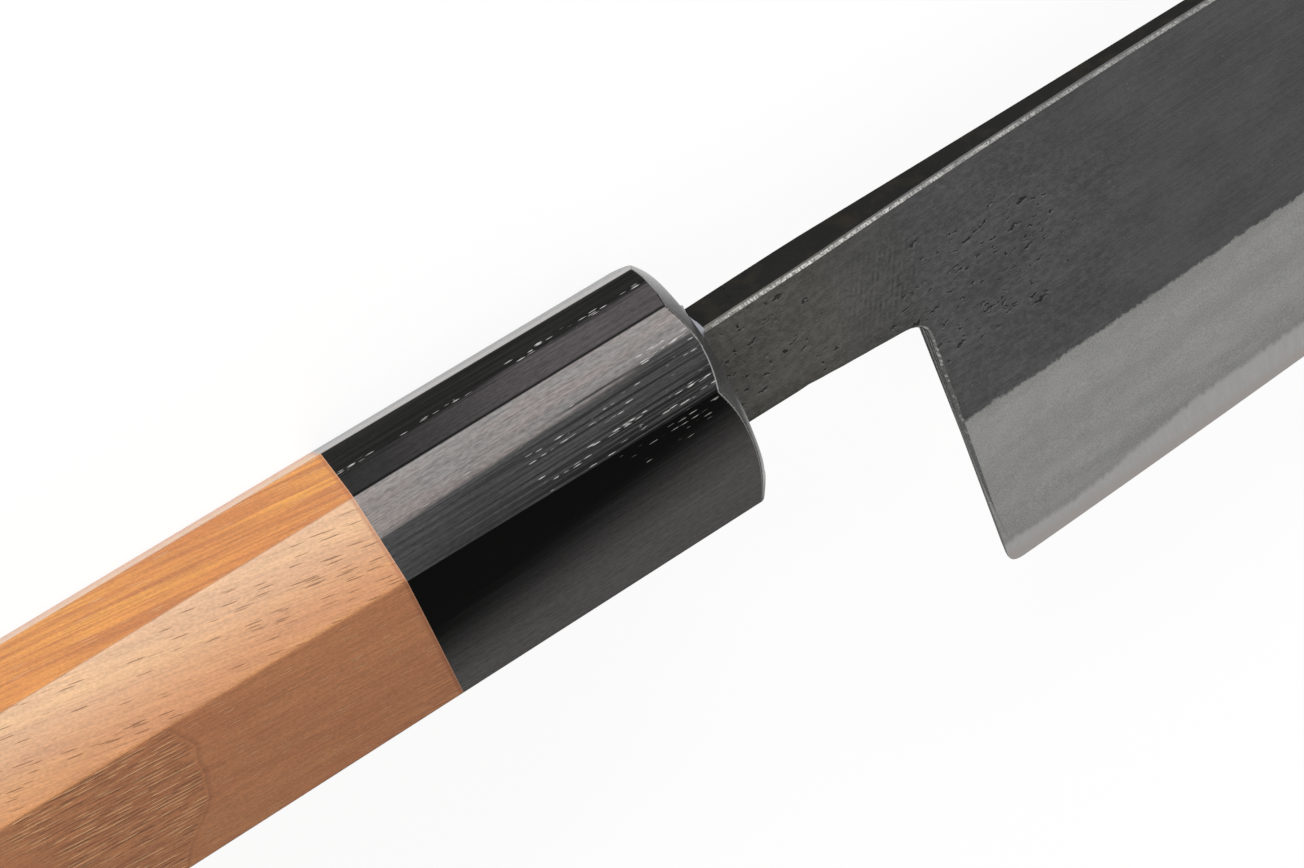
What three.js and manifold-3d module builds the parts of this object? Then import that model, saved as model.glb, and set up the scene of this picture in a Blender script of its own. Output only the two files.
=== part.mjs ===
// A gyuto: a tall kitchen knife with a forged three-layer blade on an eight-sided wooden handle.
// Sizes are in millimetres. X runs from the butt to the tip, Y from the edge to the spine and Z out of the
// right face, so the knife lies on its left side. While it is built, X = 0 is the ferrule's front face,
// Y = 0 the axis of the handle and Z = 0 the middle plane of the blade.

import * as THREE from 'three';
import { mergeVertices } from 'three/addons/utils/BufferGeometryUtils.js';
import Module from 'manifold-3d';

const wasm = await Module();
wasm.setup();

// Blade, seen from the right
const edgeLength = 210; // heel to tip
const heelDistance = 21.1; // ferrule to heel, at the edge
const heelDepth = 42.2; // handle axis down to the edge at the heel
const heelLean = 0.75; // the heel's line stands this much nearer the handle at the neck
const heelRadius = 1.5; // rounded corner of heel and edge
const choilRadius = 2.2; // rounded corner of neck and heel
const edgeSlope = 0.062; // rise of the edge for each millimetre, at the heel
const bellyRise = 12; // further rise of the edge up to the tip, with the square of the distance
const sweepRise = 13; // further rise of the edge, most of it close to the tip
const tipBlunt = 1.2; // length over which the point is rounded
const neckTop = 6.35; // handle axis up to the spine, at the ferrule
const neckBottom = 6.27; // handle axis down to the neck's lower edge, at the ferrule
const neckStraight = 1; // the spine runs level for this far out of the ferrule
const neckRun = 8.3; // the neck's lower edge runs level for this far out of the ferrule
const neckFlare = 1.4; // from there the lower edge sinks by this much to the choil
const spineRise = 0.95; // the spine rises by this much from the ferrule
const spineRiseRun = 60; // and levels out after this far
const spineDropStart = 70; // ferrule to where the spine starts to fall towards the tip

// Blade, in section
const neckThickness = 3.8;
const neckSquare = 6; // the neck stays rectangular for this far out of the ferrule
const taperStart = 12; // ferrule to where the spine starts to thin
const taperRun = 45; // length of the quick taper
const foreThickness = 2.1; // spine where the quick taper ends
const tipThickness = 0.9; // spine at the tip
const ridgeThickness = 1.9; // at the ridge line over the heel
const ridgeTipThickness = 0.75; // at the ridge line by the tip
const bevelHeight = 20.6; // edge to ridge line, at the heel
const coreShow = 3; // edge to the line where the cladding ends, at the heel
const coreThickness = 0.6;
const edgeThickness = 0.1;
const spineChamfer = 0.35;

// Tang
const tangLength = 95; // behind the ferrule's front face
const tangHeight = 10; // just behind the shoulders
const tangEndHeight = 6;
const tangEndThickness = 2.4;
const shoulderDepth = 5; // the neck's full height goes this far into the ferrule

// Handle
const handleLength = 137; // with the ferrule
const ferruleLength = 32;
const frontWidth = 19.9;
const buttWidth = 20.4;
const frontHeight = 24.3;
const buttHeight = 27.1;
const frontTopFacet = 6.2; // width of the top and bottom facets
const buttTopFacet = 8.1;
const frontSideFacet = 13.85; // height of the left and right facets
const buttSideFacet = 16.7;
const facetEasing = 0.4; // sanded edge between two facets
const noseTopInset = 1.6; // the ferrule's front is turned to an oval, this much lower than the top facet
const noseSideInset = 0.8; // and this much narrower than the side facets
const noseFlare = 1.3; // the oval widens by this much for each millimetre back
const noseFullness = 2.3; // 2 is an ellipse, more is nearer to a rectangle
const buttRadius = 1.5;

// Inside the handle
const fitGap = 0.3; // glue gap
const shoulderGap = 3; // behind the tang's shoulders, to the end of the ferrule's bore
const dowelCover = 1; // the dowel stands this far above and below the tang
const dowelEnd = 8; // solid end of the dowel behind the tang
const sealWidth = 0.5; // adhesive round the neck in the ferrule's mouth
const sealDepth = 3;
const sealBead = 0.35; // the adhesive stands this far out of the mouth

// Steps of the curves
const bladeSteps = 96;
const cornerSteps = 6;
const roundSides = 32;
const noseSides = 64;
const margin = 1; // cutting bodies reach this far past what they cut

const tipX = heelDistance + edgeLength;
const tipY = -heelDepth + edgeSlope * edgeLength + bellyRise + sweepRise;
const coreHalf = coreThickness / 2;
const dowelRadius = tangHeight / 2 + dowelCover;
const boreRadius = dowelRadius + fitGap;
const boreFront = -shoulderDepth - shoulderGap;
const slotEnd = -tangLength - fitGap;
const dowelBack = slotEnd - dowelEnd;

// A closed body from a three.js geometry, for joining and cutting
function solid(geometry) {
  geometry.deleteAttribute('normal');
  geometry.deleteAttribute('uv');
  const merged = mergeVertices(geometry, 1e-4);
  return new wasm.Manifold(new wasm.Mesh({
    numProp: 3,
    vertProperties: merged.attributes.position.array,
    triVerts: Uint32Array.from(merged.index.array),
  }));
}

// A named mesh with its own material, from a closed body
function piece(name, body, look) {
  const cut = body.getMesh();
  const geometry = new THREE.BufferGeometry();
  geometry.setAttribute('position', new THREE.BufferAttribute(Float32Array.from(cut.vertProperties), 3));
  geometry.setIndex(new THREE.BufferAttribute(Uint32Array.from(cut.triVerts), 1));
  geometry.computeVertexNormals();
  const mesh = new THREE.Mesh(geometry, new THREE.MeshStandardMaterial(look));
  mesh.name = name;
  return mesh;
}

// A closed skin over rings of equal length, which are convex and run from +Y to +Z, the last ring at the
// highest X. Each ring is { x, points }, with its points as [y, z].
function loft(rings) {
  const count = rings[0].points.length;
  const positions = rings.flatMap(({ x, points }) => points.flatMap(([y, z]) => [x, y, z]));
  const index = [];
  for (let r = 0; r + 1 < rings.length; r++) {
    for (let p = 0; p < count; p++) {
      const near = r * count + p;
      const next = r * count + (p + 1) % count;
      index.push(near, next, near + count, next, next + count, near + count);
    }
  }
  const last = (rings.length - 1) * count;
  for (let p = 1; p + 1 < count; p++) {
    index.push(0, p + 1, p);
    index.push(last, last + p, last + p + 1);
  }
  const geometry = new THREE.BufferGeometry();
  geometry.setAttribute('position', new THREE.Float32BufferAttribute(positions, 3));
  geometry.setIndex(index);
  return geometry;
}

// A box between two X, with its height along Y and its width along Z
function block(fromX, toX, fromY, toY, width) {
  const box = new THREE.BoxGeometry(toX - fromX, toY - fromY, width);
  return solid(box.translate((fromX + toX) / 2, (fromY + toY) / 2, 0));
}

// A round bar along the handle's axis
function bar(radius, fromX, toX) {
  const cylinder = new THREE.CylinderGeometry(radius, radius, toX - fromX, roundSides);
  return solid(cylinder.rotateZ(Math.PI / 2).translate((fromX + toX) / 2, 0, 0));
}

// Part of the way from one X to another, held between 0 and 1
function share(x, from, to) {
  return THREE.MathUtils.clamp((x - from) / (to - from), 0, 1);
}

// Height of the spine: level at the ferrule, a slight rise over the neck, and a fall to the tip
function spineAt(x) {
  const rise = 1 - (1 - share(x, neckStraight, neckStraight + spineRiseRun)) ** 2;
  const fall = share(x, spineDropStart, tipX) ** 2;
  return neckTop + spineRise * rise - (neckTop + spineRise - tipY) * fall;
}

// Height of the edge: nearly straight at the heel, with a belly that sweeps up to the tip
function edgeAt(x) {
  const along = share(x, heelDistance, tipX);
  return -heelDepth + edgeSlope * edgeLength * along + bellyRise * along ** 2 + sweepRise * along ** 5;
}

// A height above the edge that is given at the heel and shrinks with the blade towards the tip
function aboveEdge(x, heightAtHeel) {
  const heelHeight = spineAt(heelDistance) + heelDepth;
  return edgeAt(x) + heightAtHeel * (spineAt(x) - edgeAt(x)) / heelHeight;
}

// Thickness along the spine, from the tang's end to the tip
function spineThicknessAt(x) {
  const tang = share(x, -shoulderDepth, -tangLength);
  const quick = 1 - (1 - share(x, taperStart, taperStart + taperRun)) ** 2;
  const slow = share(x, taperStart + taperRun, tipX);
  return neckThickness + (tangEndThickness - neckThickness) * tang
    + (foreThickness - neckThickness) * quick + (tipThickness - foreThickness) * slow;
}

// Thickness along the ridge line. Behind the heel it grows to the full thickness of the neck.
function ridgeThicknessAt(x) {
  const neck = share(x, heelDistance, neckSquare);
  const front = ridgeThickness + (ridgeTipThickness - ridgeThickness) * share(x, heelDistance, tipX);
  return front + (spineThicknessAt(x) - front) * neck;
}

// The X places of the blade's sections
const bladeStart = neckStraight;
const bladeEnd = tipX - tipBlunt;
const bladeStations = Array.from({ length: bladeSteps + 1 }, (unused, step) =>
  bladeStart + (bladeEnd - bladeStart) * step / bladeSteps);
const grindStations = [-tangLength - margin, -shoulderDepth, ...bladeStations, tipX + margin];

// A corner of the outline, rounded between the points before and after it
function roundCorner(outline, before, corner, after, radius) {
  const back = before.clone().sub(corner).normalize();
  const ahead = after.clone().sub(corner).normalize();
  const turn = Math.acos(THREE.MathUtils.clamp(back.dot(ahead), -1, 1));
  const reach = radius / Math.tan(turn / 2);
  const start = corner.clone().addScaledVector(back, reach);
  const end = corner.clone().addScaledVector(ahead, reach);
  outline.lineTo(start.x, start.y);
  outline.quadraticCurveTo(corner.x, corner.y, end.x, end.y);
}

// The forged blank: the side outline of blade, neck and tang, thicker than the finished blade
function bladeBlank() {
  const neckEnd = new THREE.Vector2(neckRun, -neckBottom);
  const choil = new THREE.Vector2(heelDistance - heelLean, -neckBottom - neckFlare);
  const heel = new THREE.Vector2(heelDistance, -heelDepth);
  const edgeStart = heelDistance + 2 * heelRadius;
  const outline = new THREE.Shape();
  outline.moveTo(-tangLength, -tangEndHeight / 2);
  outline.lineTo(-shoulderDepth, -tangHeight / 2);
  outline.lineTo(-shoulderDepth, -neckBottom);
  outline.lineTo(neckEnd.x, neckEnd.y);
  roundCorner(outline, neckEnd, choil, heel, choilRadius);
  roundCorner(outline, choil, heel, new THREE.Vector2(edgeStart, edgeAt(edgeStart)), heelRadius);
  for (const x of bladeStations.filter((station) => station > edgeStart)) {
    outline.lineTo(x, edgeAt(x));
  }
  outline.quadraticCurveTo(tipX, tipY, bladeEnd, spineAt(bladeEnd));
  for (const x of bladeStations.slice(0, -1).reverse()) {
    outline.lineTo(x, spineAt(x));
  }
  outline.lineTo(-shoulderDepth, neckTop);
  outline.lineTo(-shoulderDepth, tangHeight / 2);
  outline.lineTo(-tangLength, tangEndHeight / 2);
  const depth = neckThickness + 2 * margin;
  const options = { depth, bevelEnabled: false, curveSegments: cornerSteps };
  return solid(new THREE.ExtrudeGeometry(outline, options).translate(0, 0, -depth / 2));
}

// The room of one cladding, on the right face of the core (side 1) or on the left (side -1): the chamfer at
// the spine, the flat down to the ridge line and the bevel down to the clad line
function claddingGrind(side) {
  return loft(grindStations.map((x) => {
    const spineHalf = spineThicknessAt(x) / 2;
    const chamfer = Math.min(spineChamfer, (spineAt(x) - edgeAt(x)) / 4);
    const right = [
      [spineAt(x) - chamfer, spineHalf],
      [aboveEdge(x, bevelHeight), ridgeThicknessAt(x) / 2],
      [aboveEdge(x, coreShow), coreHalf],
      [spineAt(x) + spineHalf - chamfer - coreHalf, coreHalf],
    ];
    return { x, points: side > 0 ? right : right.map(([y, z]) => [y, -z]).reverse() };
  }));
}

// The room of the core: an even layer that is ground to the edge below the clad line
function coreGrind() {
  return loft(grindStations.map((x) => {
    const top = spineAt(x) + margin;
    const cladLine = aboveEdge(x, coreShow);
    const edgeHalf = edgeThickness / 2;
    const point = edgeAt(x) - (cladLine - edgeAt(x)) * edgeHalf / (coreHalf - edgeHalf);
    const right = [[top, coreHalf], [cladLine, coreHalf], [point, 0]];
    return { x, points: [...right, [cladLine, -coreHalf], [top, -coreHalf]] };
  }));
}

// One section of the eight-sided handle, set in by the same amount all round, with its edges eased
function handleRing(x, inset) {
  const along = -x / handleLength;
  const half = (front, butt) => (front + (butt - front) * along) / 2;
  const width = half(frontWidth, buttWidth);
  const height = half(frontHeight, buttHeight);
  const top = half(frontTopFacet, buttTopFacet);
  const side = half(frontSideFacet, buttSideFacet);
  const lean = Math.atan2(height - side, width - top);
  const topCorner = new THREE.Vector2(height - inset, top - inset * Math.tan(lean / 2));
  const sideCorner = new THREE.Vector2(side - inset * Math.tan((Math.PI / 2 - lean) / 2), width - inset);
  const slope = sideCorner.clone().sub(topCorner).normalize();
  const quarter = [
    [topCorner.x, topCorner.y - facetEasing],
    [topCorner.x + slope.x * facetEasing, topCorner.y + slope.y * facetEasing],
    [sideCorner.x - slope.x * facetEasing, sideCorner.y - slope.y * facetEasing],
    [sideCorner.x - facetEasing, sideCorner.y],
  ];
  const right = [...quarter, ...quarter.map(([y, z]) => [-y, z]).reverse()];
  return { x, points: [...right, ...right.map(([y, z]) => [-y, -z])] };
}

// The rings of the rounded butt, from its flat end to where the full section begins
function buttRings() {
  return Array.from({ length: cornerSteps + 1 }, (unused, step) => {
    const angle = (step / cornerSteps) * Math.PI / 2;
    const depth = buttRadius * (1 - Math.sin(angle));
    return handleRing(-handleLength + depth, buttRadius * (1 - Math.cos(angle)));
  }).reverse();
}

// One section of the oval cone that the ferrule's front is turned to
function noseRing(x) {
  const height = frontHeight / 2 - noseTopInset - noseFlare * x;
  const width = frontWidth / 2 - noseSideInset - noseFlare * x;
  const points = Array.from({ length: noseSides }, (unused, side) => {
    const angle = (side / noseSides) * 2 * Math.PI;
    const full = (part) => Math.sign(part) * Math.abs(part) ** (2 / noseFullness);
    return [height * full(Math.cos(angle)), width * full(Math.sin(angle))];
  });
  return { x, points };
}

function ferruleBody() {
  const octagon = solid(loft([handleRing(-ferruleLength, 0), handleRing(margin, 0)]));
  const outside = octagon.intersect(solid(loft([noseRing(-ferruleLength - margin), noseRing(0)])));
  const mouth = block(boreFront - margin, margin, -neckBottom - sealWidth, neckTop + sealWidth,
    neckThickness + 2 * sealWidth);
  return outside.subtract(mouth).subtract(bar(boreRadius, -ferruleLength - margin, boreFront));
}

function gripBody() {
  const outside = solid(loft([...buttRings(), handleRing(-ferruleLength, 0)]));
  return outside.subtract(bar(boreRadius, dowelBack - fitGap, -ferruleLength + margin));
}

// The dowel is sawn from its front end to a fork, whose slot takes the tang
function dowelBody() {
  const saw = block(slotEnd, boreFront + margin, -dowelRadius - margin, dowelRadius + margin,
    neckThickness + 2 * fitGap);
  return bar(dowelRadius, dowelBack, boreFront - fitGap).subtract(saw);
}

function sealBody() {
  const outside = block(-sealDepth, sealBead, -neckBottom - sealWidth, neckTop + sealWidth,
    neckThickness + 2 * sealWidth);
  const neck = block(-sealDepth - margin, sealBead + margin, -neckBottom, neckTop, neckThickness);
  return outside.subtract(neck);
}

const blank = bladeBlank();
const ground = (grind) => blank.intersect(solid(grind));
const steel = { color: 0x9a9997, roughness: 0.45, metalness: 1 };
const forgeScale = { color: 0x4a4a4a, roughness: 0.55, metalness: 0.8 };
const knife = new THREE.Group();
knife.add(
  piece('core_steel', ground(coreGrind()), steel),
  piece('cladding_right', ground(claddingGrind(1)), forgeScale),
  piece('cladding_left', ground(claddingGrind(-1)), forgeScale),
  piece('mouth_seal', sealBody(), { color: 0x77777c, roughness: 0.6, metalness: 0 }),
  piece('tang_dowel', dowelBody(), { color: 0xc9a878, roughness: 0.8, metalness: 0 }),
  piece('ferrule', ferruleBody(), { color: 0x1c1c1a, roughness: 0.4, metalness: 0 }),
  piece('handle_body', gripBody(), { color: 0xb87a4e, roughness: 0.5, metalness: 0 }),
);

// The origin is under the middle of the knife, on the surface that it lies on
const box = new THREE.Box3().setFromObject(knife);
const middle = box.getCenter(new THREE.Vector3());
knife.position.set(-middle.x, -middle.y, -box.min.z);

const part = new THREE.Group();
part.add(knife);

export default part;
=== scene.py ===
# A gyuto knife lying on its left side: a forged three-layer blade, a black ferrule and an eight-sided grip.
# Meshes are in metres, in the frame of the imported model. Sizes named _mm and the materials' patterns are in
# millimetres from the middle of the ferrule's mouth: X to the tip, Y to the spine, Z out of the right face.

import math

import bmesh
import bpy
import numpy as np
from mathutils import Matrix, Vector


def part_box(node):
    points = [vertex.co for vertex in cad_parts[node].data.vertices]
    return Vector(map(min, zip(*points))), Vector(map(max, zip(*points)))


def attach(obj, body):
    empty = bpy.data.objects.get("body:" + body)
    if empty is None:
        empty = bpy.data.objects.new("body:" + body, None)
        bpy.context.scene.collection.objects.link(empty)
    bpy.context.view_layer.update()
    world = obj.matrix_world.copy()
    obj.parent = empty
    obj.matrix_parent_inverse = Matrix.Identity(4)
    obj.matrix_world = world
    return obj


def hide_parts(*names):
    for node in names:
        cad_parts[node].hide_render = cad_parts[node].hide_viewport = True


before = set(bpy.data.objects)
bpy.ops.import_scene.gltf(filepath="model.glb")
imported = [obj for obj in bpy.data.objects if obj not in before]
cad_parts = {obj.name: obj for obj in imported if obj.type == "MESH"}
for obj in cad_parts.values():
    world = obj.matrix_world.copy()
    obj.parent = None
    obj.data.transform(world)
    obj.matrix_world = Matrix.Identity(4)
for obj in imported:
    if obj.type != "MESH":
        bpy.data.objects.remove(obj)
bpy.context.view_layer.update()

# Core of the blade
# The hard middle layer of the laminate, forge-welded between two softer ones. It is ground bare below the
# clad line, where it carries the edge, and runs back through the neck into the tang.

ferrule_low, ferrule_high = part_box("ferrule")
mouth = Vector((ferrule_high.x, (ferrule_low.y + ferrule_high.y) / 2, (ferrule_low.z + ferrule_high.z) / 2))
mm = 0.001


class Wire:
    """An output socket of a node tree. Operators on it add Math nodes."""

    def __init__(self, tree, socket=None):
        self.tree = tree
        self.socket = socket

    def node(self, kind, settings=None, inputs=None, output=0):
        """A new node: its settings first, then the values or links of its sockets."""
        made = self.tree.nodes.new(kind)
        for name, value in (settings or {}).items():
            setattr(made, name, value)
        for name, value in (inputs or {}).items():
            if isinstance(value, Wire):
                self.tree.links.new(value.socket, made.inputs[name])
            else:
                made.inputs[name].default_value = value
        return Wire(self.tree, made.outputs[output])

    def math(self, operation, *values):
        """A Math node on these values."""
        return self.node("ShaderNodeMath", {"operation": operation}, dict(enumerate(values)))

    def __add__(self, other):
        return self.math("ADD", self, other)

    def __radd__(self, other):
        return self.math("ADD", other, self)

    def __sub__(self, other):
        return self.math("SUBTRACT", self, other)

    def __rsub__(self, other):
        return self.math("SUBTRACT", other, self)

    def __mul__(self, other):
        return self.math("MULTIPLY", self, other)

    def __rmul__(self, other):
        return self.math("MULTIPLY", other, self)

    def __truediv__(self, other):
        return self.math("DIVIDE", self, other)

    def __rtruediv__(self, other):
        return self.math("DIVIDE", other, self)

    def __pow__(self, other):
        return self.math("POWER", self, other)

    def __abs__(self):
        return self.math("ABSOLUTE", self)

    def step(self, low, high):
        """0 below low, 1 above high, smooth between. It falls where low is above high."""
        if low > high:
            return 1 - self.step(high, low)
        return self.node("ShaderNodeMapRange", {"interpolation_type": "SMOOTHSTEP"},
                         {"Value": self, "From Min": low, "From Max": high})

    def mix(self, first, second):
        """One colour where this value is 0, the other where it is 1."""
        color = [(*c, 1.0) if isinstance(c, tuple) else c for c in (first, second)]
        return self.node("ShaderNodeMix", {"data_type": "RGBA"}, {0: self, 6: color[0], 7: color[1]}, 2)

    def axes(self):
        """The three parts of a vector."""
        split = self.node("ShaderNodeSeparateXYZ", inputs={"Vector": self}).socket.node
        return [Wire(self.tree, output) for output in split.outputs]

    def stretched(self, factors):
        """A place times a factor for each axis."""
        return self.node("ShaderNodeVectorMath", {"operation": "MULTIPLY"}, {0: self, 1: factors})

    def noise(self, factors, detail=2.0):
        """Noise from 0 to 1 with this many waves to the millimetre along each axis."""
        return self.node("ShaderNodeTexNoise", inputs={"Vector": self.stretched(factors), "Scale": 1.0,
                                                       "Detail": detail})

    def tint(self, color):
        """A colour made lighter or darker by this value."""
        return self.node("ShaderNodeVectorMath", {"operation": "SCALE"}, {0: color, "Scale": self})

    def turned(self, degrees):
        """A place turned about the axis out of the right face."""
        turn = (0, 0, math.radians(degrees))
        return self.node("ShaderNodeMapping", inputs={"Vector": self, "Rotation": turn})

    def marks(self, factors, share, size):
        """Marks in cells, with this many to the millimetre along each axis. A share of them holds a mark."""
        gap = self.node("ShaderNodeTexVoronoi", inputs={"Vector": self.stretched(factors), "Scale": 1.0})
        chance = Wire(self.tree, gap.socket.node.outputs["Color"]).axes()[0]
        return gap.step(size, size * 0.5) * (chance + share).step(1.0, 1.03)

    def into(self, node, socket):
        """Links this output to a node's input."""
        self.tree.links.new(self.socket, node.inputs[socket])


def surface(name, constants):
    """A material, its shader, the place in millimetres from the mouth and the surface's own normal."""
    material = bpy.data.materials.new(name)
    material.use_nodes = True
    shader = material.node_tree.nodes["Principled BSDF"]
    for socket, value in constants.items():
        shader.inputs[socket].default_value = value
    start = Wire(material.node_tree)
    where = start.node("ShaderNodeTexCoord", output="Object")
    place = start.node("ShaderNodeMapping", inputs={"Vector": where, "Location": mouth / -mm,
                                                    "Scale": (1 / mm,) * 3})
    facing = Wire(material.node_tree, where.socket.node.outputs["Normal"])
    return material, shader, place, facing


def bump(height, shader, strength=1.0):
    """Raises the surface by a height in millimetres."""
    height.node("ShaderNodeBump", inputs={"Strength": strength, "Distance": mm, "Height": height}).into(
        shader, "Normal")


def placed(name, data):
    """A new object in the scene."""
    made = bpy.data.objects.new(name, data)
    bpy.context.scene.collection.objects.link(made)
    return made


def merged_copy(node, name, eased_mm=0.0):
    """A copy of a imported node's mesh: its triangles joined, its choil eased and its long edges split."""
    longest_edge = 2.0 * mm
    halvings = 5
    choil_start = mouth.x + 1.0 * mm
    choil_end = mouth.x + 24.0 * mm
    choil_top = mouth.y - 4.0 * mm
    face_lean = 0.8
    arris_angle = 1.0
    crease_angle = math.radians(25)
    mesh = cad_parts[node].data.copy()
    mesh.materials.clear()
    shape = bmesh.new()
    shape.from_mesh(mesh)
    bmesh.ops.remove_doubles(shape, verts=shape.verts, dist=1e-6)
    for layer in list(shape.loops.layers.float_vector.values()):
        shape.loops.layers.float_vector.remove(layer)
    if eased_mm:
        choil = [edge for edge in shape.edges if len(edge.link_faces) == 2
                 and choil_start < edge.verts[0].co.x < choil_end
                 and max(vertex.co.y for vertex in edge.verts) < choil_top
                 and sorted(abs(face.normal.z) > face_lean for face in edge.link_faces) == [False, True]
                 and edge.calc_face_angle_signed() > arris_angle]
        bmesh.ops.bevel(shape, geom=choil, offset=eased_mm * mm, segments=3, profile=0.5, affect="EDGES")
    for _ in range(halvings):
        long_edges = [edge for edge in shape.edges if edge.calc_length() > longest_edge]
        bmesh.ops.subdivide_edges(shape, edges=long_edges, cuts=1)
        bmesh.ops.triangulate(shape, faces=shape.faces, quad_method="SHORT_EDGE", ngon_method="EAR_CLIP")
    shape.to_mesh(mesh)
    shape.free()
    if "custom_normal" in mesh.attributes:
        mesh.attributes.remove(mesh.attributes["custom_normal"])
    mesh.shade_smooth()
    mesh.set_sharp_from_angle(angle=crease_angle)
    return placed(name, mesh)


# The lines of the edge and the spine, from each section of the core that reaches the spine, which is nowhere
# lower than the tip. The edge starts at the heel.
heel_front_mm = 26.0
core_points = np.array([vertex.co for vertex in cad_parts["core_steel"].data.vertices])
core_points = core_points[core_points[:, 0] > mouth.x]
tip_y = core_points[core_points[:, 0].argmax(), 1]
sections = [(x, core_points[np.abs(core_points[:, 0] - x) < 1e-5, 1])
            for x in np.unique(np.round(core_points[:, 0], 5))]
sections = [(x, y.min(), y.max()) for x, y in sections if y.max() > tip_y - 1e-6]
section_x, edge_line, spine_line = np.array(sections).T
edged = section_x > mouth.x + heel_front_mm * mm
heel_height = (spine_line - edge_line)[edged][0]


def mark_rise(piece):
    """Writes in millimetres how high each point stands over the edge, as if the blade were as tall as its
    heel all along, and how far it lies below the spine."""
    least_height = 0.5 * mm
    points = np.array([vertex.co for vertex in piece.data.vertices])
    edge = np.interp(points[:, 0], section_x[edged], edge_line[edged])
    spine = np.interp(points[:, 0], section_x, spine_line)
    values = {"rise": (points[:, 1] - edge) / np.maximum(spine - edge, least_height) * heel_height / mm,
              "drop": (spine - points[:, 1]) / mm}
    for name, value in values.items():
        piece.data.attributes.new(name, "FLOAT", "POINT").data.foreach_set("value", value.astype(np.float32))


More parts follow.
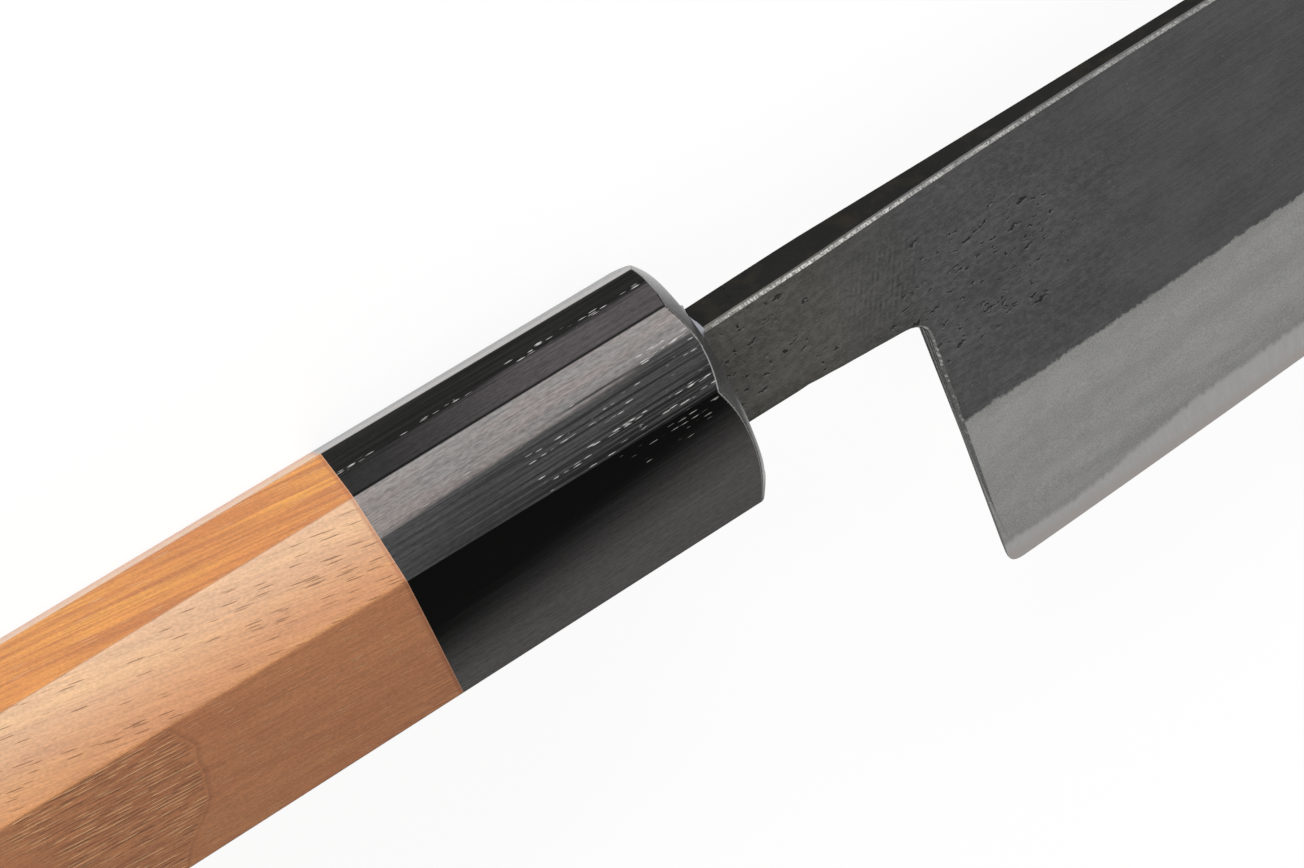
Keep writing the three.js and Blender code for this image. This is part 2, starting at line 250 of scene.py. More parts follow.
def blade_finish(name):
    """Black forge scale over the ridge line, matt ground steel below it, and the bare edge, with painted
    light and shade on its pits, ripples and heel face.
    """
    material, shader, place, facing = surface(name, {"Specular IOR Level": 0.16})
    rise = place.node("ShaderNodeAttribute", {"attribute_name": "rise"}, output="Fac")
    drop = place.node("ShaderNodeAttribute", {"attribute_name": "drop"}, output="Fac")
    x, y, z = place.axes()
    out_x, out_y, out_z = facing.axes()
    side = abs(out_z).step(0.85, 0.95)
    spine = out_y.step(0.8, 0.95)
    chamfer = out_y.step(0.3, 0.45) * out_y.step(0.92, 0.8)
    heel_face = out_x.step(-0.2, -0.45)

    def zone(middle_x, middle_y, radius):
        """1 round a point of the blade's face, falling to 0 at a radius."""
        gap = ((x - middle_x) * (x - middle_x) + (y - middle_y) * (y - middle_y)) ** 0.5
        return gap.step(radius, radius * 0.4)

    ridge_mm = 20.6
    ridge_blur_mm = 0.24
    ragged = (place.noise((0.3, 0.3, 0.3), 3.0) - 0.5) * 0.9
    ragged = ragged + (place.noise((2.6, 2.6, 2.6), 4.0) - 0.5) * 0.9
    bevel = (rise + ragged).step(ridge_mm + ridge_blur_mm, ridge_mm - ridge_blur_mm) * side

    cloud = place.noise((0.12, 0.16, 0.1), 3.0).step(0.3, 0.7)
    brush = place.noise((0.05, 5.0, 0.2), 3.0).step(0.3, 0.7)
    slanted = place.turned(-9).noise((0.12, 4.6, 0.2), 2.0).step(0.3, 0.7)
    grit = place.noise((6.0, 6.0, 6.0), 2.0).step(0.25, 0.75)
    ripple_mm = 0.58
    ripple_lean = 0.37
    # Painted shading: forging ripples in a patch behind the heel, put into the colour as light and dark
    # bands, not into the shape.
    ripple_shading = place.math("SINE", (x - ripple_lean * y) * (2 * math.pi / ripple_mm)) * zone(17.5, -0.5, 6.0)
    ripple_shading = ripple_shading * place.noise((1.2, 1.0, 0.5), 2.0).step(0.4, 0.7)
    warp_mm = (1.2, 1.2, 0)
    warp = place.node("ShaderNodeTexNoise", inputs={"Vector": place, "Scale": 1.6, "Detail": 3.0},
                      output="Color")
    crooked = place.node("ShaderNodeVectorMath", {"operation": "MULTIPLY_ADD"},
                         {0: warp, 1: warp_mm, 2: place})
    worn = zone(5.5, 0, 9.0) * 0.7 + zone(27, -6, 12.0)

    def pitted(shift_mm):
        """Short and long pits, moved towards the edge by a shift. Shifted, they mark the painted highlights
        on the pits' lower walls.
        """
        spot = place.node("ShaderNodeVectorMath", {"operation": "ADD"}, {0: crooked, 1: (0, shift_mm, 0)})
        short = spot.turned(-8).marks((1.3, 3.6, 0.5), 0.01 + 0.17 * worn, 0.42)
        long = spot.turned(-14).marks((0.5, 2.2, 0.3), 0.004 + 0.13 * worn, 0.4)
        return place.math("MAXIMUM", short, long)

    pit_highlight_shift_mm = 0.16
    pits = pitted(0.0)
    pit_highlights = pitted(pit_highlight_shift_mm)
    uneven = 0.35 + 0.65 * place.math("MAXIMUM", zone(5.0, 0, 16.0), zone(26.0, -8.0, 22.0))
    rough = place.noise((1.5, 1.5, 1.5), 6.0).step(0.3, 0.7) * uneven + 0.5 * (1 - uneven)
    specks = place.marks((2.2, 2.2, 2.2), 0.035, 0.26)
    scale_tone = 0.076 + 0.026 * cloud + 0.022 * brush + 0.012 * slanted + 0.042 * rough + 0.022 * grit
    scale_tone = scale_tone + 0.034 * ripple_shading + 0.08 * specks
    scale_color = scale_tone.tint(x.step(24.0, 8.0).mix((1.0, 1.0, 1.0), (1.04, 1.01, 0.9)))
    # Painted highlight on the lower walls of the pits, where they face the light, and painted shade darkening
    # their cores.
    scale_color = (pit_highlights * 0.4).mix(scale_color, (0.3, 0.3, 0.29))
    scale_color = (pits.step(0.3, 0.9) * 0.78).mix(scale_color, (0.01, 0.01, 0.009))
    stain = place.noise((0.5, 0.5, 0.5), 3.0).step(0.5, 0.7)
    scale_color = spine.mix(scale_color, stain.mix((0.003, 0.003, 0.0025), (0.011, 0.009, 0.005)))

    patches = 0.35 + 0.65 * place.noise((0.45, 0.6, 0.6), 2.0).step(0.3, 0.55)
    scratches = (place.noise((6.0, 4.0, 4.0), 3.0).step(0.36, 0.6) * 0.85 + 0.15) * patches
    scratches = scratches * x.step(-2.0, 7.0) * (1 - 0.45 * x.step(14.0, 42.0)) * drop.step(0.08, 0.16)
    scale_color = (chamfer * scratches).mix(scale_color, (0.62, 0.61, 0.58))
    flecks = place.noise((2.2, 2.2, 2.2), 2.0).step(0.52, 0.62) * z.step(0.5, 1.0)
    # The heel face is painted lighter towards its top as a painted highlight.
    heel_color = (0.17 + 0.14 * grit + 0.45 * flecks + 0.15 * y.step(-15.0, -9.0)).tint((1.0, 1.0, 0.985))
    scale_color = heel_face.mix(scale_color, heel_color)

    mottle = place.noise((0.5, 0.7, 0.4), 4.0).step(0.3, 0.7)
    strokes = place.turned(-24).noise((0.35, 3.4, 0.3), 2.0).step(0.3, 0.7)
    bands = place.noise((0.03, 0.3, 0.3), 2.0).step(0.3, 0.7)
    clad_mm = 3.0
    clad_climb_mm = 1.9
    teeth = (place.noise((1.8, 0.2, 0.2), 3.0) - 0.5) * 1.5
    clad_line = rise - clad_climb_mm * x.step(28.0, 46.0)
    steel_tone = 0.495 + 0.05 * mottle + 0.02 * strokes + 0.18 * grit + 0.03 * cloud + 0.08 * bands
    steel_tone = steel_tone - 0.08 * clad_line.step(clad_mm + 5.0, clad_mm)
    steel_color = steel_tone.tint((1.0, 0.99, 0.955))
    haze = (clad_line + teeth).step(clad_mm + 0.2, clad_mm - 0.8)
    steel_color = haze.mix(steel_color, (0.93 + 0.12 * teeth + 0.08 * grit).tint((0.9, 0.885, 0.87)))
    bare = (rise + 0.5 * teeth).step(clad_mm - 0.9, clad_mm - 2.3)
    steel_color = bare.mix(steel_color, (0.86, 0.8, 0.76))

    ridge_specks = bevel * (1 - bevel) * 4 * place.noise((3.0, 3.0, 3.0), 2.0).step(0.5, 0.62)
    color = (ridge_specks * 0.5).mix(bevel.mix(scale_color, steel_color), (0.5, 0.5, 0.48))
    color.into(shader, "Base Color")
    (bevel * 0.9 + chamfer * scratches * 0.5).into(shader, "Metallic")
    (0.6 + 0.08 * brush - 0.2 * bevel).into(shader, "Roughness")
    bump(0.004 * brush + 0.03 * rough - 0.09 * pits + 0.006 * grit, shader)
    return material


core = merged_copy("core_steel", "edge_core")
mark_rise(core)
core.data.materials.append(blade_finish("ground core steel"))
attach(core, "root")
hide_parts("core_steel")

# Claddings
# The two soft iron layers on the core. They keep the black scale of the forge above the ridge line, are
# ground to a wide matt bevel below it, and end in a hazy line a few millimetres over the edge.

choil_ease_mm = 0.65
for side_name in ("right", "left"):
    cladding = merged_copy("cladding_" + side_name, "blade_" + side_name, choil_ease_mm)
    mark_rise(cladding)
    cladding.data.materials.append(blade_finish("forge scale " + side_name))
    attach(cladding, "root")
    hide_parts("cladding_" + side_name)

# Grip
# One piece of oiled reddish hardwood, sawn to eight facets that are sanded by hand, so that they are
# slightly crowned and their edges eased. Its bore takes the dowel, and its butt is rounded over.

front_mm = {"Height": 24.3, "Width": 19.9, "Top": 6.2, "Side": 13.85}
butt_mm = {"Height": 27.1, "Width": 20.4, "Top": 8.1, "Side": 16.7}
grip_low, grip_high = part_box("handle_body")
dowel_low, dowel_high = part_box("tang_dowel")
handle_mm = (mouth.x - grip_low.x) / mm
joint_mm = (grip_high.x - mouth.x) / mm
glue_gap = 0.3 * mm
overcut = 1.0 * mm


def eight_sided_tree():
    """A bar of eight facets between two ends, one of which can be rounded over or turned to an oval nose."""
    tree = bpy.data.node_groups.new("eight-sided bar", "GeometryNodeTree")
    sockets = tree.interface
    sockets.new_socket("Geometry", in_out="INPUT", socket_type="NodeSocketGeometry")
    for name in ("Rows", "Sides"):
        sockets.new_socket(name, in_out="INPUT", socket_type="NodeSocketInt")
    floats = ["Shaped End", "Plain End", "Round Over", "Nose Height", "Nose Width", "Nose Flare"]
    floats += ["Crown", "Edge"]
    floats += [end + " " + size for end in ("Front", "Butt") for size in front_mm]
    for name in floats:
        sockets.new_socket(name, in_out="INPUT", socket_type="NodeSocketFloat")
    sockets.new_socket("Material", in_out="INPUT", socket_type="NodeSocketMaterial")
    sockets.new_socket("Geometry", in_out="OUTPUT", socket_type="NodeSocketGeometry")

    start = Wire(tree)
    given = {output.name: Wire(tree, output) for output in tree.nodes.new("NodeGroupInput").outputs}
    rows, sides, power = given["Rows"], given["Sides"], given["Edge"]
    grid = start.node("GeometryNodeMeshGrid", inputs={"Size X": 1.0, "Size Y": 1.0, "Vertices X": rows,
                                                      "Vertices Y": sides + 1})
    grid_x, grid_y, _ = start.node("GeometryNodeInputPosition").axes()
    row = (grid_x + 0.5) * (rows - 1)
    turn = (grid_y + 0.5) * (2 * math.pi)
    quarter = turn.math("PINGPONG", (grid_y + 0.5) * 4, 1.0)

    # The first and the last row are the middles of the end faces. Rows stand closest at the shaped end.
    inner = row.math("GREATER_THAN", row, 0.5) * row.math("LESS_THAN", row, rows - 1.5)
    share = row.math("MINIMUM", row.math("MAXIMUM", (row - 1) / (rows - 3), 0.0), 1.0) ** 2
    shaped, plain = given["Shaped End"], given["Plain End"]
    x = shaped + (plain - shaped) * share
    depth = abs(x - shaped)
    along = x / -handle_mm

    def half(size):
        """Half a size of the section at this place along the handle."""
        front, butt = given["Front " + size], given["Butt " + size]
        return (front + (butt - front) * along) / 2

    height, width, top, side = (half(size) for size in front_mm)
    lean_y, lean_z = width - top, height - side
    lean = (lean_y * lean_y + lean_z * lean_z) ** 0.5
    lean_y, lean_z = lean_y / lean, lean_z / lean
    corner = height * lean_y + top * lean_z
    middle = (height + side) / 2 * lean_z - (top + width) / 2 * lean_y
    radius = given["Round Over"]
    missing = row.math("MAXIMUM", radius - depth, 0.0)
    inset = radius - (radius * radius - missing * missing) ** 0.5

    def reach(facets):
        """How far a point reaches over the facets. The power eases the edges between them."""
        return (facets[0] ** power + facets[1] ** power + facets[2] ** power) ** (1 / power)

    # A quarter of the columns crosses half the top, a chamfer and half a side. They stand closest at edges.
    top_end, side_start = 0.2, 0.7
    on_top = quarter.step(-top_end, top_end) * 2 - 1
    on_chamfer = quarter.step(top_end, side_start)
    on_side = quarter.step(side_start, 2 - side_start) * 2
    sharp_up = height - (height - side) * on_chamfer - side * on_side
    sharp_out = top * on_top + (width - top) * on_chamfer
    up, out = sharp_up, sharp_out
    facets = [up / (height - inset), out / (width - inset), (up * lean_y + out * lean_z) / (corner - inset)]
    size = 1 / reach(facets)
    up, out = up * size, out * size
    across = [out, up, up * lean_z - out * lean_y - middle]
    facets = [facet * size + given["Crown"] * distance * distance for facet, distance in zip(facets, across)]
    size = size / reach(facets)

    fullness = 2.3
    softness = 260.0
    flare_power = 0.85
    flare = given["Nose Flare"] * depth ** flare_power
    nose = ((up / (given["Nose Height"] + flare)) ** fullness
            + (out / (given["Nose Width"] + flare)) ** fullness) ** (1 / fullness)
    size = size / (1 + nose ** softness) ** (1 / softness)
    size = size * inner
    half_y = turn.math("SIGN", turn.math("COSINE", turn))
    half_z = turn.math("SIGN", turn.math("SINE", turn))
    point = start.node("ShaderNodeCombineXYZ", inputs={
        "X": x, "Y": half_y * sharp_up * size, "Z": half_z * sharp_out * size})
    point = start.node("ShaderNodeVectorMath", {"operation": "MULTIPLY_ADD"},
                       {0: point, 1: (mm,) * 3, 2: mouth})
    skin = start.node("GeometryNodeSetPosition", inputs={"Geometry": grid, "Position": point})
    skin = start.node("GeometryNodeMergeByDistance", inputs={"Geometry": skin, "Distance": 1e-6})
    skin = start.node("GeometryNodeRealizeInstances", inputs={"Geometry": skin})
    skin = start.node("GeometryNodeSetMaterial", inputs={"Geometry": skin, "Material": given["Material"]})
    skin.into(tree.nodes.new("NodeGroupOutput"), "Geometry")
    return tree


eight_sided = eight_sided_tree()


def eight_sided_piece(name, material, sizes, cutters):
    """A bar of eight facets as a plain mesh, with its bores and slots cut out."""
    crease_angle = math.radians(30)
    piece = placed(name, bpy.data.meshes.new(name))
    values = {"Crown": 0.0003, "Edge": 220.0, "Sides": 240, "Material": material, **sizes}
    values.update({"Front " + size: length for size, length in front_mm.items()})
    values.update({"Butt " + size: length for size, length in butt_mm.items()})
    nodes = piece.modifiers.new("facets", "NODES")
    nodes.node_group = eight_sided
    for socket in eight_sided.interface.items_tree:
        if socket.in_out == "INPUT" and socket.name in values:
            nodes[socket.identifier] = values[socket.name]

    def settle():
        """Turns what the modifiers make into a plain mesh."""
        graph = bpy.context.evaluated_depsgraph_get()
        piece.data = bpy.data.meshes.new_from_object(piece.evaluated_get(graph))
        piece.modifiers.clear()

    settle()
    shape = bmesh.new()
    shape.from_mesh(piece.data)
    bmesh.ops.recalc_face_normals(shape, faces=shape.faces)
    shape.to_mesh(piece.data)
    shape.free()
    for cutter in cutters:
        cut = piece.modifiers.new("cut", "BOOLEAN")
        cut.object = cutter
        cut.operation = "DIFFERENCE"
        cut.solver = "EXACT"
    settle()
    for cutter in cutters:
        bpy.data.objects.remove(cutter)
    piece.data.shade_smooth()
    piece.data.set_sharp_from_angle(angle=crease_angle)
    return piece


def mesh_of(shape, name):
    """The mesh of a finished bmesh."""
    mesh = bpy.data.meshes.new(name)
    shape.to_mesh(mesh)
    shape.free()
    return mesh


def bore(from_x, to_x):
    """A round bar on the handle's axis, as wide as the dowel's bore."""
    radius = (dowel_high.y - dowel_low.y) / 2 + glue_gap
    shape = bmesh.new()
    bmesh.ops.create_cone(shape, cap_ends=True, segments=64, depth=to_x - from_x, radius1=radius,
                          radius2=radius)
    middle = Vector(((from_x + to_x) / 2, mouth.y, mouth.z))
    shape.transform(Matrix.Translation(middle) @ Matrix.Rotation(math.pi / 2, 4, "Y"))
    return placed("bore", mesh_of(shape, "bore"))


def grip_wood():
    """Reddish hardwood with slanting grain, wide rings, open pores and grooves, and a satin oil finish, with
    painted sheen, highlights and shade.
    """
    material, shader, place, facing = surface("oiled grip wood", {
        "Specular IOR Level": 0.4, "Coat Weight": 0.5, "Coat Roughness": 0.28, "Coat IOR": 1.35})
    x, y, z = place.axes()
    out_x, out_y, out_z = facing.axes()
    top = abs(out_y).step(0.85, 0.93)
    side = abs(out_z).step(0.88, 0.96)
    slant_y, slant_z = 0.1, 0.16
    flattening = 0.7
    grain_y = y + slant_y * x
    grain_z = z - slant_z * x
    grain = place.node("ShaderNodeCombineXYZ", inputs={"X": x, "Y": grain_y, "Z": grain_z})
    flat = place.node("ShaderNodeCombineXYZ", inputs={
        "X": x, "Y": grain_y * (1 - flattening * top), "Z": grain_z * (1 - flattening * side)})

    ring_mm = 6.0
    ring_start_mm = 18.5
    crest_mm = 3.5
    bow = (y - crest_mm) * (y - crest_mm)
    wander = (grain.noise((0.02, 0.12, 0.12), 2.0) - 0.5) * 1.2
    ring = (grain_z - 0.009 * bow + wander - ring_start_mm) / ring_mm
    ring = ring.math("FRACT", ring)
    porous = ring.step(0.0, 0.012) * ring.step(0.5, 0.36)
    ring_line = ring.step(0.982, 0.998)

    broad = grain.noise((0.04, 0.4, 0.4), 2.0).step(0.3, 0.7)
    fibre = flat.noise((0.03, 2.8, 2.8), 3.0).step(0.28, 0.72)
    hair = flat.noise((0.1, 7.0, 7.0), 2.0).step(0.28, 0.72)
    grit = flat.noise((3.0, 5.5, 5.5), 2.0).step(0.25, 0.75)
    chamfer_way = place.math("ARCTAN2", abs(z), abs(y)) * (180 / math.pi)
    # The upper chamfers are paler, partly in the wood and partly a painted sheen from the light behind the
    # spine; the lower chamfers keep the side colours.
    upper = broad.mix((0.68, 0.4, 0.23), (0.78, 0.48, 0.255))
    lower = broad.mix((0.57, 0.25, 0.11), (0.64, 0.29, 0.115))
    low_way = place.math("MAXIMUM", chamfer_way.step(16.0, 52.0), y.step(2.0, -2.0))
    color = low_way.mix(upper, lower)
    amber = broad.mix((0.61, 0.235, 0.066), (0.74, 0.34, 0.078))
    color = top.mix(color, fibre.mix((0.5, 0.185, 0.06), amber))
    color = side.mix(color, broad.mix((0.62, 0.24, 0.105), (0.68, 0.28, 0.12)))
    tone = 0.75 + 0.11 * fibre + 0.15 * hair + 0.22 * grit
    tone = tone + porous * side * (0.26 * hair - 0.2) - 0.16 * ring_line
    color = tone.tint(color)

    chains = flat.noise((0.012, 1.7, 1.7), 0.0).step(0.53, 0.6)
    pores = flat.marks((0.34, 8.0, 8.0), 0.05 + 0.42 * chains * (1 - side) + 0.08 * side, 0.42)
    # Pores are painted light on the top and the sides, where their walls catch the light, and dark on the
    # chamfers: painted highlight and painted shade.
    pale = place.math("MAXIMUM", side, top)
    color = (pores * 0.7).mix(color, pale.mix((0.21, 0.09, 0.045), (0.84, 0.47, 0.24)))
    shown = porous * side * (0.35 + 0.65 * x.step(-92.0, -80.0)) * x.step(-38.0, -46.0)
    groove_spacing_mm = 0.37
    groove_place = grain_y / groove_spacing_mm + 1.6 * grain.noise((0.1, 0.5, 0.5), 2.0)

    def groove_lines(shift, factors):
        """Thin broken lines side by side, moved across by a share of their distance."""
        across = abs(groove_place.math("FRACT", groove_place + shift) - 0.5).step(0.22, 0.07)
        return across * flat.noise(factors, 1.0).step(0.47, 0.6) * shown

    # In the figured zone each groove is painted dark along one wall and light along the other: painted shade
    # and a painted highlight.
    color = (groove_lines(0.35, (0.5, 2.4, 2.4)) * 0.6).mix(color, (0.13, 0.055, 0.028))
    lit_grooves = groove_lines(0.0, (0.4, 2.7, 2.7))
    color = (lit_grooves * 0.85).mix(color, (1.0, 0.58, 0.28))

    end_ring = ring.math("FRACT", ring * 3)
    end_pores = place.marks((1.0, 3.2, 3.2), 0.45, 0.3)
    end_tone = 0.8 + 0.28 * end_ring + 0.2 * place.noise((0.5, 2.0, 2.0), 4.0) - 0.3 * end_pores
    color = abs(out_x).step(0.7, 0.95).mix(color, end_tone.tint((0.42, 0.19, 0.085)))

    rim = x.step(joint_mm - 0.5, joint_mm - 0.2)
    color = (rim * 0.5).mix(color, (0.36, 0.11, 0.045))
    color = (x.step(joint_mm - 0.1, joint_mm - 0.06) * 0.4).mix(color, (0.66, 0.42, 0.27))
    color.into(shader, "Base Color")
    (0.4 + 0.14 * hair + 0.2 * pores).into(shader, "Roughness")
    bump(0.008 * fibre + 0.006 * hair - 0.03 * pores - 0.02 * lit_grooves, shader)
    return material


butt_round_mm = 1.5
no_nose_mm = 50.0
grip = eight_sided_piece("grip", grip_wood(), {
    "Rows": 90, "Shaped End": -handle_mm, "Plain End": joint_mm, "Round Over": butt_round_mm,
    "Nose Height": no_nose_mm, "Nose Width": no_nose_mm, "Nose Flare": 0.0,
}, [bore(dowel_low.x - glue_gap, grip_high.x + overcut)])
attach(grip, "root")
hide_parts("handle_body")

# Ferrule
# A collar of black dyed laminated wood, glued to the grip and sanded flush with it. Its front is turned to
# an oval nose, and a mortise in it takes the neck of the blade.

seal_low, seal_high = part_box("mouth_seal")


def mortise():
    """The slot for the neck, from the mouth back into the bore."""
    shape = bmesh.new()
    bmesh.ops.create_cube(shape, size=1.0)
    front_x = mouth.x + overcut
    back_x = dowel_high.x - overcut
    size = Vector((front_x - back_x, seal_high.y - seal_low.y, seal_high.z - seal_low.z))
    middle = Vector(((front_x + back_x) / 2, (seal_low.y + seal_high.y) / 2, mouth.z))
    shape.transform(Matrix.LocRotScale(middle, None, size))
    return placed("mortise", mesh_of(shape, "mortise"))


def black_wood():
    """Black laminated wood: bands of dyed veneer along its length, fine grain and rows of open pores, with
    painted reflections and painted highlight and shade.
    """
    material, shader, place, facing = surface("black ferrule wood", {
        "Specular IOR Level": 0.0, "Coat Roughness": 0.22, "Coat IOR": 1.27})
    x, y, z = place.axes()
    out_x, out_y, out_z = facing.axes()
    on_top = abs(out_y).step(0.85, 0.93)
    on_side = abs(out_z).step(0.88, 0.96)
    fine = place.noise((0.05, 3.4, 3.4), 4.0).step(0.28, 0.72)
    hair = place.noise((0.22, 9.0, 9.0), 2.0).step(0.28, 0.72)
    grit = place.noise((1.7, 6.0, 6.0), 3.0).step(0.25, 0.75)
    sway = (place.noise((0.05, 1.1, 1.1), 3.0) - 0.5) + 0.35 * (fine - 0.5)
    round_way = place.math("ARCTAN2", abs(z), abs(y)) * (180 / math.pi)

    black = (0.002, 0.002, 0.0018)
    purple = x.step(-31.0, -10.0).mix((0.02, 0.019, 0.019), (0.07, 0.063, 0.066))
    top_way = z + 0.03 * x + 1.3 * sway
    top_color = top_way.step(-0.7, -0.1).mix(fine.mix(black, (0.012, 0.012, 0.011)), purple)
    # The upper part of each chamfer is painted light grey: a painted reflection of the soft box behind the
    # spine.
    light = place.noise((0.1, 0.7, 0.7), 2.0).step(0.35, 0.65)
    light = light.mix((0.215, 0.205, 0.198), (0.24, 0.21, 0.2))
    front = x.step(-34.0, -6.0)
    low_chamfer = front.mix((0.06, 0.06, 0.062), (0.045, 0.045, 0.045))
    dark_lines = place.noise((0.02, 5.0, 5.0), 2.0).step(0.6, 0.38) * (0.35 + 0.6 * front)
    low_chamfer = dark_lines.mix(low_chamfer, black)
    chamfer_way = round_way + 0.13 * x + 9 * sway
    chamfer_color = chamfer_way.step(26.0, 30.0).mix(light, low_chamfer)
    # The sides run from black towards the spine and the grip to grey towards the edge and the nose: a painted
    # reflection.
    side_color_with_reflection = (0.16 * x - y + 1.5 * sway).step(-6.5, 2.5).mix(black, (0.126, 0.119, 0.117))
    color = on_top.mix(chamfer_color, top_color)
    color = on_side.mix(color, side_color_with_reflection)
    tone = 0.5 + 0.28 * fine + 0.28 * hair + 0.44 * grit
    tone = tone + on_side * (0.33 - 0.26 * fine - 0.1 * hair - 0.1 * grit)
    color = tone.tint(color)

    rows = place.noise((0.012, 4.0, 4.0), 0.0).step(0.5, 0.56)
    bunches = place.noise((0.22, 2.0, 2.0), 1.0).step(0.4, 0.58)
    top_row = top_way.step(-1.3, -1.0) * top_way.step(-0.4, -0.7) * 0.34
    chamfer_rows = rows * chamfer_way.step(23.0, 27.0) * (0.03 + 0.75 * x.step(-24.0, -8.0))
    side_rows = rows * x.step(-14.0, -5.0) * y.step(3.5, 5.5) * 0.32
    share = on_top * top_row + on_side * side_rows + (1 - on_top) * (1 - on_side) * chamfer_rows
    pores = place.marks((0.95, 9.0, 9.0), 0.002 + share * bunches, 0.5)
    color = (pores * (0.4 + 0.6 * grit)).mix(color, (0.72, 0.71, 0.69))

    top_edge = (front_mm["Top"] - (butt_mm["Top"] - front_mm["Top"]) / handle_mm * x) / 2
    # A thin black line runs along the edges of the top facet.
    top_edge_line = (top_edge - abs(z)).step(0.3, 0.16) * on_top
    color = (top_edge_line * 0.9).mix(color, black)
    nose = out_x.step(0.45, 0.65)
    # Near the spine the nose is painted light grey on the far side and dark on the right face's side, and mid
    # grey lower down: a painted highlight and shade.
    nose_color = z.step(-2.0, 5.0).mix((0.22, 0.216, 0.215), (0.055, 0.054, 0.054))
    nose_color = y.step(8.0, 5.5).mix(nose_color, (0.092, 0.089, 0.088))
    color = nose.mix(color, (0.8 + 0.4 * hair).tint(nose_color))
    color = out_x.step(0.9, 0.97).mix(color, (0.5 + fine).tint((0.03, 0.029, 0.028)))
    arris = out_x.step(0.12, 0.25) * out_x.step(0.5, 0.38)
    # Along the arris between the facets and the nose: a line of painted shade by the top and a painted
    # highlight by the chamfers and sides.
    arris_shade_and_highlight = round_way.step(24.0, 32.0).mix((0.01, 0.01, 0.01), (0.36, 0.36, 0.35))
    color = (arris * 0.85).mix(color, arris_shade_and_highlight)
    color.into(shader, "Base Color")
    (0.5 + 0.15 * fine).into(shader, "Roughness")
    (1 - 0.45 * on_top - 0.45 * on_side).into(shader, "Coat Weight")
    bump(0.01 * fine + 0.006 * hair - 0.02 * pores, shader)
    return material


ferrule = eight_sided_piece("ferrule_black", black_wood(), {
    "Rows": 90, "Shaped End": 0.0, "Plain End": joint_mm, "Round Over": 0.0,
    "Nose Height": 10.55, "Nose Width": 9.15, "Nose Flare": 1.4,
}, [bore(grip_high.x - overcut, dowel_high.x + glue_gap), mortise()])
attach(ferrule, "root")
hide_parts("ferrule")

# Dowel
# A plain hardwood dowel inside the handle, sawn to a fork that takes the tang. It is glued into both bores
# and joins the grip and the ferrule.


def dowel_wood():
    """Plain sawn pale wood with straight grain."""
    material, shader, place, _ = surface("dowel wood", {"Roughness": 0.8})
    fibre = place.noise((0.06, 1.6, 1.6), 3.0)
    fibre.mix((0.50, 0.33, 0.15), (0.68, 0.49, 0.27)).into(shader, "Base Color")
    bump(fibre * 0.02, shader)
    return material


dowel_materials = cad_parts["tang_dowel"].data.materials
dowel_materials.clear()
dowel_materials.append(dowel_wood())

# Mouth seal
# A bead of grey adhesive, pressed into the mortise round the neck and smoothed off by hand, so that it
# swells a little out of the ferrule's mouth and climbs on the steel.

seal_width = 0.5 * mm
seal_depth_mm = 3.0
neck_low = Vector((0, seal_low.y + seal_width, seal_low.z + seal_width))
neck_high = Vector((0, seal_high.y - seal_width, seal_high.z - seal_width))
bead_profile_mm = ((0.03, -seal_depth_mm), (0.46, -seal_depth_mm), (0.46, -0.02), (0.74, 0.03), (0.76, 0.16),
                   (0.6, 0.36), (0.34, 0.55), (0.12, 0.68), (0.03, 0.72))
crest_swell = 0.65
crest_power = 8
corner_steps = 8
side_steps = 14
bead_crease_angle = math.radians(50)


def bead_stations():
    """Points round the neck with the direction out of the steel: a turned corner, then a side."""
    corners = ((neck_high.y, neck_high.z), (neck_high.y, neck_low.z), (neck_low.y, neck_low.z),
               (neck_low.y, neck_high.z))
    for number, corner in enumerate(corners):
        following = corners[(number + 1) % 4]
        outward = -number * math.pi / 2
        for step in range(corner_steps):
            angle = outward + math.pi / 2 - step / corner_steps * math.pi / 2
            yield corner, (math.cos(angle), math.sin(angle))
        for step in range(side_steps):
            share = step / side_steps
            place = [a + (b - a) * share for a, b in zip(corner, following)]
            yield place, (math.cos(outward), math.sin(outward))


def adhesive():
    """Smooth grey adhesive with a slight mottling."""
    material, shader, place, _ = surface("grey adhesive", {"Roughness": 0.5})
    patch = place.noise((1.1, 1.1, 1.1), 3.0).step(0.3, 0.7)
    patch.mix((0.3, 0.305, 0.345), (0.4, 0.405, 0.45)).into(shader, "Base Color")
    bump(patch * 0.05, shader)
    return material


bead_shape = bmesh.new()
bead_rings = []
for number, (place, outward) in enumerate(bead_stations()):
    crest = crest_swell * max(0.0, (place[0] - mouth.y) / (neck_high.y - mouth.y)) ** crest_power
    long_wave = 0.15 * math.sin(number * 0.29)
    short_wave = 0.08 * math.sin(number * 0.57 + 1)
    swell = 1 + long_wave + short_wave + crest
    ring = []
    for off, out_of_mouth in bead_profile_mm:
        if out_of_mouth > 0:
            out_of_mouth *= swell
        ring.append(bead_shape.verts.new((mouth.x + out_of_mouth * mm, place[0] + outward[0] * off * mm,
                                          place[1] + outward[1] * off * mm)))
    bead_rings.append(ring)
for ring, following in zip(bead_rings, bead_rings[1:] + bead_rings[:1]):
    for first in range(len(ring)):
        second = (first + 1) % len(ring)
        bead_shape.faces.new((ring[first], ring[second], following[second], following[first]))
bmesh.ops.recalc_face_normals(bead_shape, faces=bead_shape.faces)
bead_mesh = mesh_of(bead_shape, "bead")
bead_mesh.materials.append(adhesive())
bead_mesh.shade_smooth()
bead_mesh.set_sharp_from_angle(angle=bead_crease_angle)
bead = placed("adhesive_bead", bead_mesh)
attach(bead, "root")
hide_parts("mouth_seal")

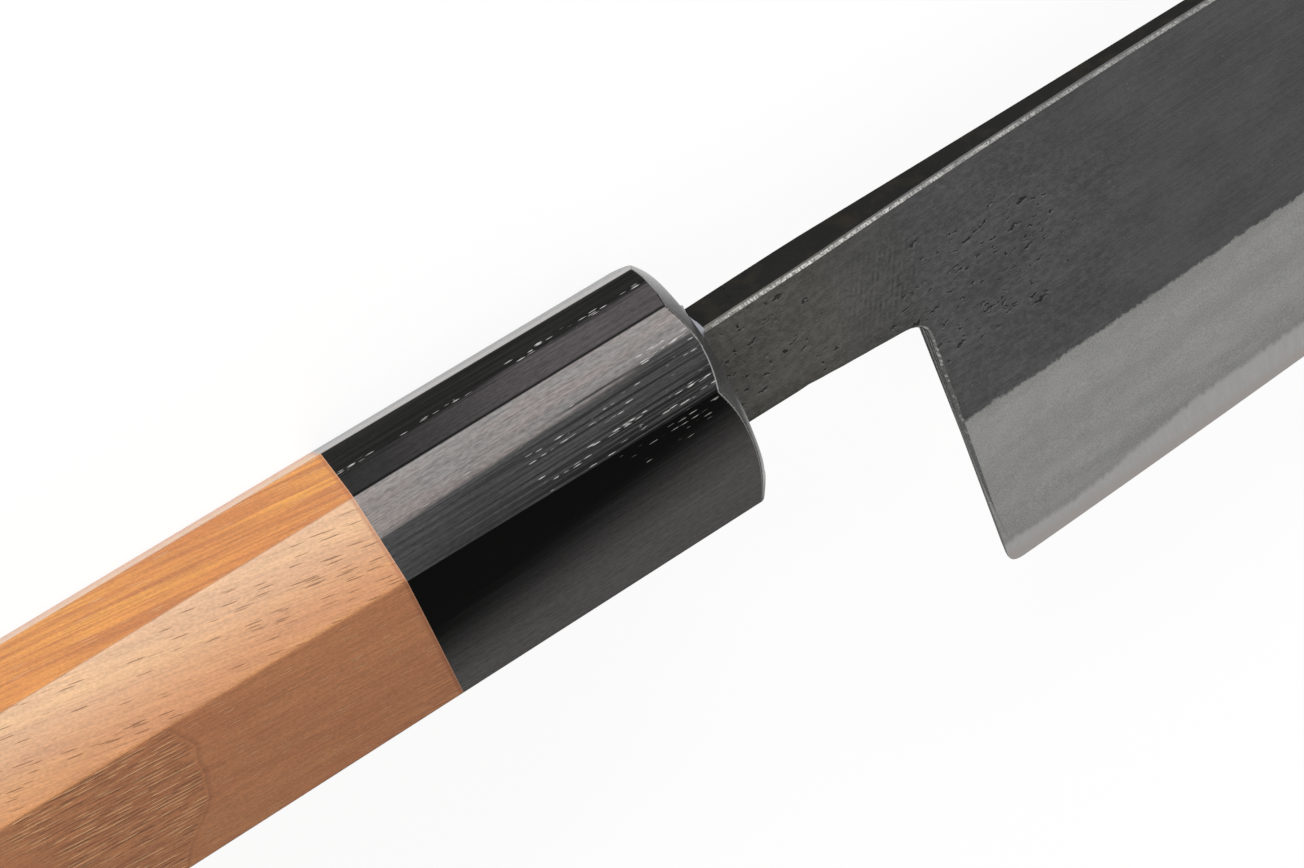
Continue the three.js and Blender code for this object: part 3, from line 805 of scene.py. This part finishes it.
# Floor
# A plain white table top. The camera and reflections see it nearly white, and it keeps the knife's shadow.

floor_half = 8.0
floor_glow = 0.88
floor_corners = ((-1, -1), (1, -1), (1, 1), (-1, 1))
floor_mesh = bpy.data.meshes.new("floor")
floor_mesh.from_pydata([(x * floor_half, y * floor_half, 0) for x, y in floor_corners], [], [(0, 1, 2, 3)])
floor = placed("floor", floor_mesh)
floor_material = bpy.data.materials.new("white table")
floor_material.use_nodes = True
floor_tree = floor_material.node_tree
floor_tree.nodes.clear()
floor_start = Wire(floor_tree)
light_path = floor_start.node("ShaderNodeLightPath").socket.node
seen_by = ("Is Camera Ray", "Is Glossy Ray", "Is Transmission Ray")
seen = [Wire(floor_tree, light_path.outputs[name]) for name in seen_by]
shown = seen[0].math("MINIMUM", seen[0] + seen[1] + seen[2], 1.0)
paper = floor_start.node("ShaderNodeBsdfDiffuse", inputs={"Color": (0.8, 0.8, 0.8, 1.0)})
shade = floor_start.node("ShaderNodeBsdfDiffuse", inputs={"Color": (0.25, 0.25, 0.25, 1.0)})
glow = floor_start.node("ShaderNodeEmission", inputs={"Strength": floor_glow})
bright = floor_start.node("ShaderNodeAddShader", inputs={0: shade, 1: glow})
mixed = floor_start.node("ShaderNodeMixShader", inputs={0: shown, 1: paper, 2: bright})
mixed.into(floor_tree.nodes.new("ShaderNodeOutputMaterial"), "Surface")
floor_mesh.materials.append(floor_material)

# Light
# A wide soft box behind the spine, and an even grey room around the table.


def soft_box(name, place, size, power):
    """A rectangular lamp that faces the ferrule."""
    lamp = bpy.data.lights.new(name, "AREA")
    lamp.shape = "RECTANGLE"
    lamp.size, lamp.size_y = size
    lamp.energy = power
    facing = (place - mouth).to_track_quat("Z", "Y").to_matrix().to_4x4()
    placed(name, lamp).matrix_world = Matrix.Translation(place) @ facing


soft_box("spine light", place=Vector((0.05, 0.95, 0.22)), size=(1.3, 0.44), power=9.5)
room_grey = 0.34
world = bpy.data.worlds.new("grey room")
world.use_nodes = True
world.node_tree.nodes["Background"].inputs["Color"].default_value = (room_grey, room_grey, room_grey, 1.0)
bpy.context.scene.world = world

# Camera
# A long lens over the spine, rolled so that the knife runs from the lower left to the upper right.

aim = mouth + Vector((-6.058, -2.708, 0.0)) * mm
distance = 328.95 * mm
turn, lift, roll = (math.radians(degrees) for degrees in (12.892, 43.379, -22.916))
photo_width_px = 1304
focal_length_px = 3808.13
sensor_width_mm = 36.0
back = Vector((-math.sin(turn) * math.cos(lift), math.sin(lift), math.cos(turn) * math.cos(lift)))
level = Vector((0, 1, 0)).cross(back).normalized()
right = math.cos(roll) * level + math.sin(roll) * back.cross(level)
camera = placed("camera", bpy.data.cameras.new("camera"))
camera.data.sensor_width = sensor_width_mm
camera.data.lens = sensor_width_mm * focal_length_px / photo_width_px
camera.data.clip_start = 0.01
camera.matrix_world = Matrix.Translation(aim + distance * back) @ Matrix(
    (right, back.cross(right), back)).transposed().to_4x4()
bpy.context.scene.camera = camera

bpy.context.scene.view_settings.view_transform = "Standard"
